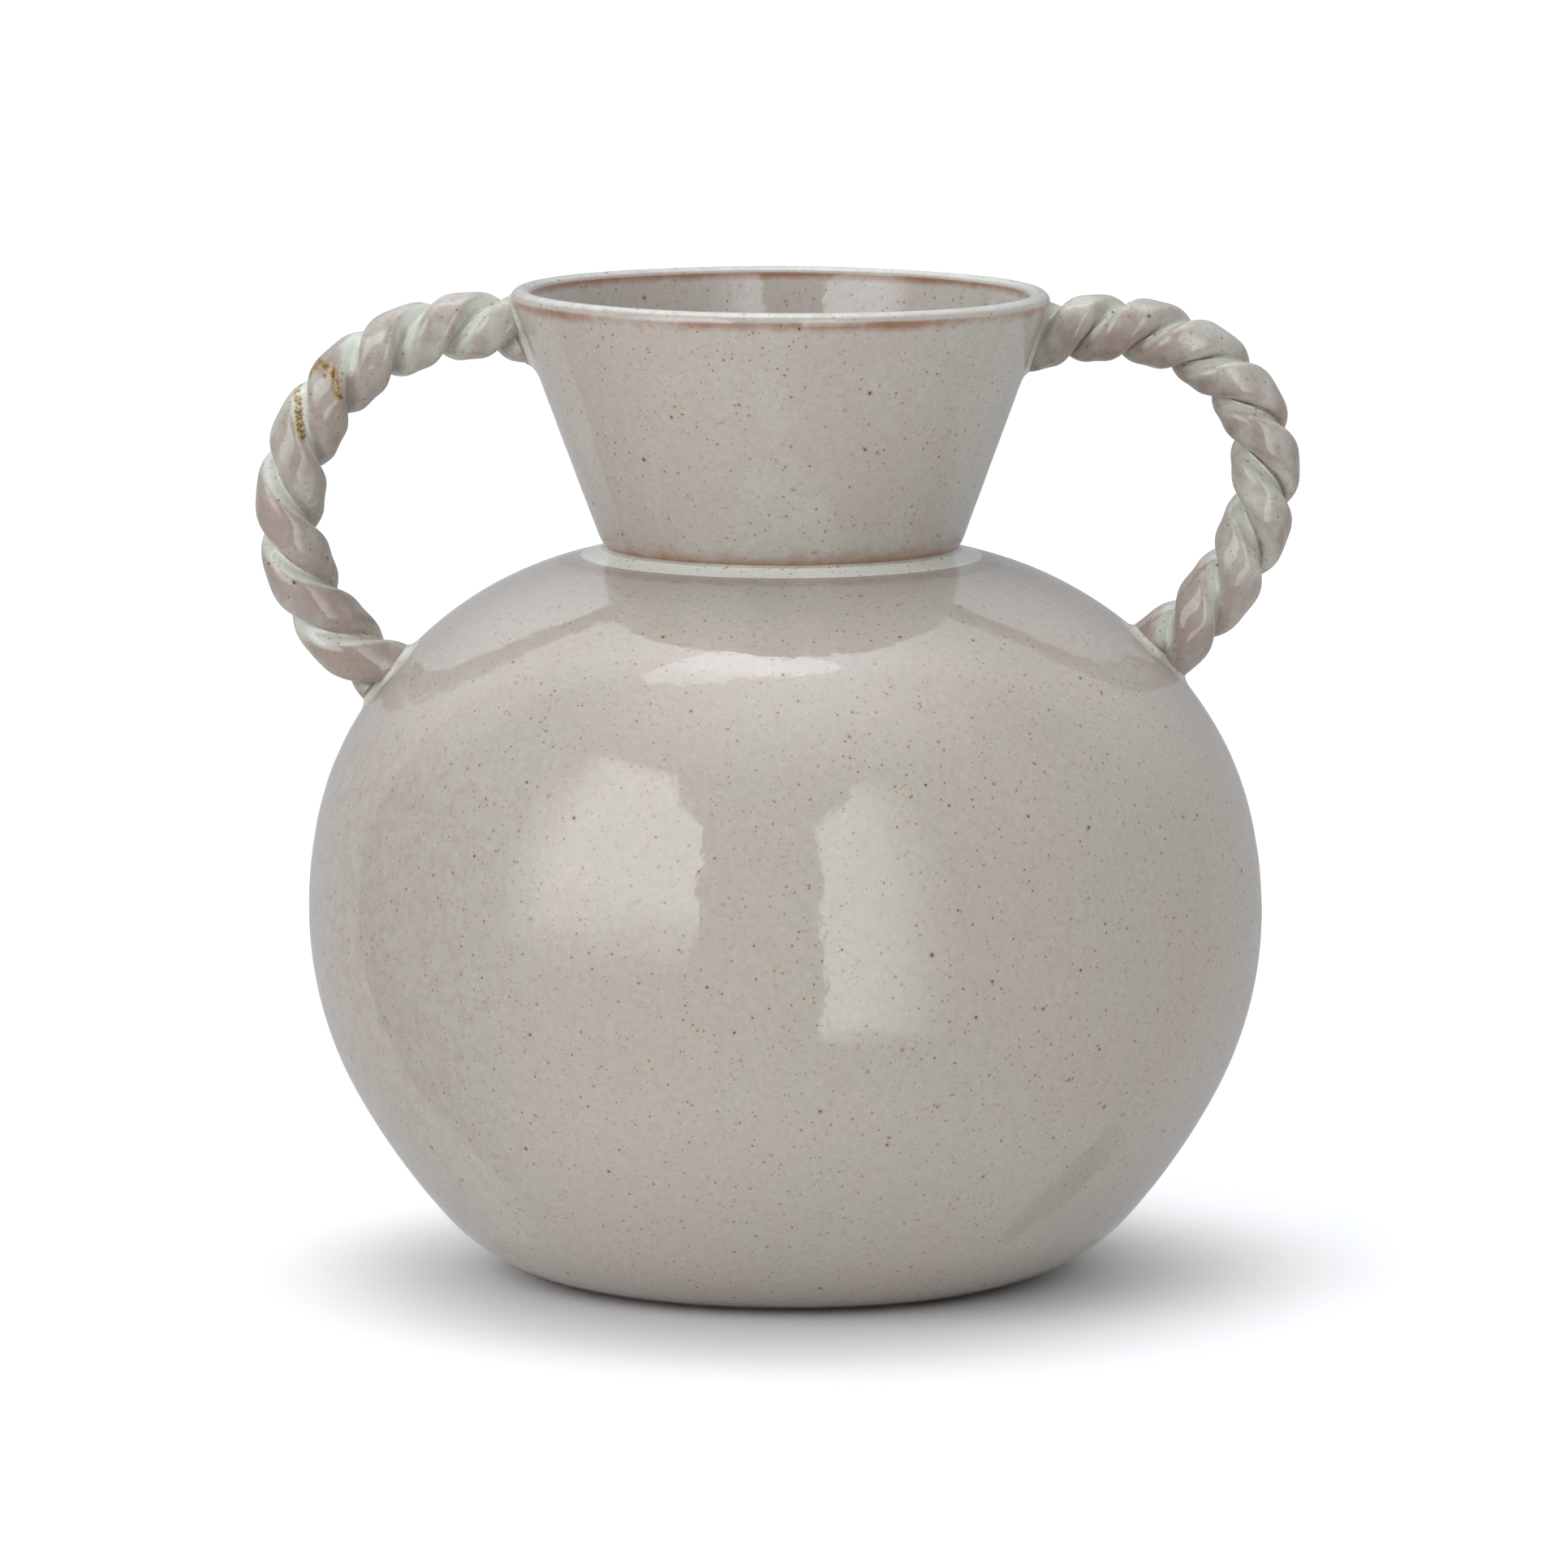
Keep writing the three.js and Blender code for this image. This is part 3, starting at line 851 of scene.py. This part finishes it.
def collar(rope, wall, wall_normal, root, outwards):
    """The slip worked round a rope's end: a hollow fillet that runs out on the wall.

    The root is where the rope's middle line leaves the wall. Outwards is 1 where the rope comes out
    of the wall along its line, or -1 where it goes in.
    """
    root_place, _ = rope.at(root)
    rings = []
    for i in range(COLLAR_STEPS):
        turn = 2 * math.pi * i / COLLAR_STEPS
        hidden, shown = root - outwards * 12 * MM, root + outwards * 12 * MM
        for _ in range(24):
            middle = (hidden + shown) / 2
            reach = oval_reach(nearer_roll(turn - rope.lay(middle))) * rope.thickness(middle, 0.0)
            place = rope.at(middle)[0] + rope.around(middle, turn) * reach
            if wall(place) < 0:
                hidden = middle
            else:
                shown = middle
        normal = wall_normal(place)
        away = place - root_place
        away = (away - normal * away.dot(normal)).normalized()
        under_lip = smoothstep(0.0, 9 * MM, lip_height - place.z)
        spread = (0.15 + 0.85 * under_lip) * (1 + 0.35 * noise.noise(place / (6 * MM)))
        ring = []
        for out, rise in COLLAR_SECTION:
            on_wall = place + away * out * (spread if out > 0 else 1.0) * MM
            on_wall -= normal * wall(on_wall)
            ring.append(on_wall + normal * rise * (0.4 + 0.6 * under_lip if rise > 0 else 1.0) * MM)
        rings.append(ring)
    return lofted(rings, closed=True)


def collar_depth(wall):
    """Pooled in the hollow, and thin where the collar meets the rope."""

    def lie_of_glaze_and_light(place, normal, around):
        rise = wall(place) / MM
        return 0.4 - 1.3 * smoothstep(0.8, 1.3, rise) - 0.6 * (1 - smoothstep(0.02, 0.25, rise))

    return lie_of_glaze_and_light


ropes = (
    Rope(
        "left", -1, ((0.4449, 0.9539), (0.8897, 1.014), (1.137, 0.7285), (0.7332, 0.6018)),
        first=12.3 * MM, last=131 * MM,
    ),
    Rope(
        "right", 1, ((0.4512, 0.9461), (0.9467, 1.0309), (1.1502, 0.7577), (0.6359, 0.6022)),
        first=12.6 * MM, last=124 * MM,
    ),
)

for rope in ropes:
    upper = rope.meets(above_neck, 0.0, rope.length / 2)
    lower = rope.meets(above_shoulder, rope.length, rope.length / 2)
    upper_place, lower_place = rope.at(upper)[0], rope.at(lower)[0]
    ends = ((upper_place, neck_normal(upper_place)), (lower_place, shoulder_normal(lower_place)))
    for letter, phase in (("a", 0.0), ("b", math.pi)):
        cad_node = f"{rope.name}_rope_roll_{letter}"
        rust = left_rust if rope.side < 0 else None
        made = roll(rope, phase, ends)
        piece(made, "glazed_" + cad_node, cad_node, rope_glaze, roll_glaze_and_light, rust)
    for level, root, outwards, wall, wall_normal in (
        ("upper", upper, 1, above_neck, neck_normal),
        ("lower", lower, -1, above_shoulder, shoulder_normal),
    ):
        cad_node = f"{rope.name}_{level}_pad"
        made = collar(rope, wall, wall_normal, root, outwards)
        piece(made, f"{rope.name}_{level}_collar", cad_node, pool_glaze, collar_depth(wall))


# ---- Studio -----------------------------------------------------------------------------------

# The part of the floor that is close enough to the vase to be mirrored in the glaze.
TABLE_RADIUS = 0.085
FLOOR_RADIUS = 14.0
BASE_BRIGHTNESS = 0.15
SEEN_BRIGHTNESS = 1.1  # of the background itself, a little past white


def floor(name, inner, outer, reflected):
    """A flat ring of pale matt floor."""
    work = bmesh.new()
    bmesh.ops.create_circle(work, cap_ends=inner == 0, segments=96, radius=outer)
    if inner:
        rim = bmesh.ops.extrude_edge_only(work, edges=work.edges[:])["geom"]
        for v in rim:
            if isinstance(v, bmesh.types.BMVert):
                v.co *= inner / outer
    bmesh.ops.recalc_face_normals(work, faces=work.faces)
    data = bpy.data.meshes.new(name)
    work.to_mesh(data)
    work.free()
    data.materials.append(floor_material)
    made = bpy.data.objects.new(name, data)
    made.visible_glossy = reflected
    bpy.context.scene.collection.objects.link(made)


floor_material, floor_tree = new_material("pale_matt_floor")
floor_shader = node(
    floor_tree, "ShaderNodeBsdfPrincipled", {"Base Color": linear("#f4f4f3"), "Roughness": 0.9},
)
node(floor_tree, "ShaderNodeOutputMaterial", {}, {"Surface": floor_shader})
floor("table", 0, TABLE_RADIUS, True)
floor("floor", TABLE_RADIUS, FLOOR_RADIUS, False)


def room():
    """A white studio seen in the glaze. Each panel has edges in degrees, each with its softness:
    left and right edge, measured from the front with the right hand positive, then bottom and top,
    then, where a corner is cut off, height plus and height minus angle to the right."""
    panels = (
        ("left window", 3.2, ((-66, 24), (-21, 1), (2, 24), (51, 5), (13, 4))),
        ("right window", 2.8, ((9, 1), (30, 30), (-24, 6), (50, 10), (180, 1), (26, 5))),
        ("left wall", 0.4, ((-190, 1), (-124, 1), (-46, 12), (95, 1))),
        ("upper left wall", 1.0, ((-190, 1), (-110, 20), (28, 40), (95, 1))),
        ("right wall", 0.3, ((123, 1), (190, 1), (-38, 24), (95, 1))),
        ("upper right wall", 0.6, ((110, 20), (190, 1), (28, 40), (95, 1))),
        ("right of the windows", 0.2, ((55, 40), (123, 1), (-35, 30), (95, 1))),
        ("ceiling", 2.65, ((-190, 1), (190, 1), (68, 46), (95, 1))),
        ("table", 0.45, ((-190, 1), (190, 1), (-95, 1), (-42, 30))),
        ("dark edge of the table", -0.35, ((117, 3), (130, 3), (-54, 4), (-38, 4))),
    )
    world = bpy.data.worlds.new("room")
    bpy.context.scene.world = world
    world.use_nodes = True
    tree = world.node_tree
    tree.nodes.clear()
    way = node(tree, "ShaderNodeTexCoord").outputs["Generated"]
    parts = node(tree, "ShaderNodeSeparateXYZ", {}, {"Vector": way})
    front = node(tree, "ShaderNodeMath", {"operation": "MULTIPLY", 1: -1.0}, {0: parts.outputs["Y"]})
    across = node(tree, "ShaderNodeMath", {"operation": "ARCTAN2"}, {0: parts.outputs["X"], 1: front})
    upright = node(tree, "ShaderNodeMath", {"operation": "ARCSINE"}, {0: parts.outputs["Z"]})
    falling = node(tree, "ShaderNodeMath", {"operation": "ADD"}, {0: upright, 1: across})
    rising = node(tree, "ShaderNodeMath", {"operation": "SUBTRACT"}, {0: upright, 1: across})
    sides = ((across, 1), (across, -1), (upright, 1), (upright, -1), (falling, -1), (rising, -1))
    total = node(tree, "ShaderNodeValue")
    total.outputs[0].default_value = BASE_BRIGHTNESS
    for label, brightness, edges in panels:
        panel = node(tree, "ShaderNodeValue", {"label": label})
        panel.outputs[0].default_value = brightness
        for (angle, inward), (edge, softness) in zip(sides, edges):
            dark = math.radians(edge - inward * softness / 2)
            full = math.radians(edge + inward * softness / 2)
            ramp = node(
                tree, "ShaderNodeMapRange",
                {"interpolation_type": "SMOOTHSTEP", 1: dark, 2: full}, {0: angle},
            )
            panel = node(tree, "ShaderNodeMath", {"operation": "MULTIPLY"}, {0: panel, 1: ramp})
        total = node(tree, "ShaderNodeMath", {"operation": "ADD"}, {0: total, 1: panel})
    seen = node(tree, "ShaderNodeLightPath").outputs["Is Camera Ray"]
    brightness = node(
        tree, "ShaderNodeMix", {"data_type": "FLOAT", 3: SEEN_BRIGHTNESS}, {"Factor": seen, 2: total},
    )
    light = node(tree, "ShaderNodeBackground", {"Color": linear("#f7faff")}, {"Strength": brightness})
    node(tree, "ShaderNodeOutputWorld", {}, {"Surface": light})


def overhead():
    """A strip light above the vase, which shines in the shoulder."""
    data = bpy.data.lights.new("overhead", "AREA")
    data.shape = "ELLIPSE"
    data.size = 0.85
    data.size_y = 0.32
    data.energy = 1.3
    data.color = (0.92, 0.96, 1.0)
    lamp = bpy.data.objects.new("overhead", data)
    lamp.location = (-0.2, 0.08, 1.65)
    lamp.visible_camera = False
    bpy.context.scene.collection.objects.link(lamp)


def skylight():
    """Even light from above that whitens the floor and isn't mirrored in the glaze."""
    data = bpy.data.lights.new("skylight", "SUN")
    data.energy = 0.34
    data.angle = math.radians(120)
    lamp = bpy.data.objects.new("skylight", data)
    lamp.visible_glossy = False
    bpy.context.scene.collection.objects.link(lamp)


room()
overhead()
skylight()

bpy.context.scene.view_settings.view_transform = "Standard"
